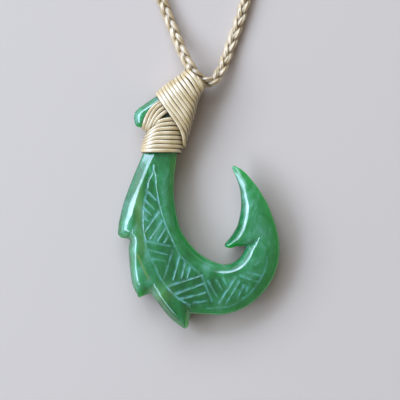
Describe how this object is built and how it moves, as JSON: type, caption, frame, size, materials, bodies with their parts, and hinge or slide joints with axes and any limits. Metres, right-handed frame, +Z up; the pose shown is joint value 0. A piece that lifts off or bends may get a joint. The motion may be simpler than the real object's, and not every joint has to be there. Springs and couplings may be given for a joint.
{
  "type": "fish hook pendant",
  "caption": "Carved stone fish hook pendant with spurs and an inner barb, thread-lashed to a braided neck cord that is one closed loop, lying on its back.",
  "frame": {"origin": "on the surface that the pendant lies on, under the middle of the hook and its lashings; the neck cord is not counted", "axes": "+Y from the hook's tail up to its head and on into the neck cord, +X towards the side that the point is on, +Z up out of the carved front"},
  "size_m": [0.1578, 0.312, 0.007],
  "materials": {
    "green_stone": "polished translucent green stone with frosted engraved lines",
    "lashing_thread": "waxed cream thread, slightly glossy",
    "braided_cord": "cream cord plaited from three waxed strands"
  },
  "bodies": {
    "root": {"hook_stone": "green_stone", "shank_whipping": "lashing_thread", "side_lashing": "lashing_thread", "head_lashing": "lashing_thread", "neck_cord": "braided_cord"}
  },
  "joints": []
}
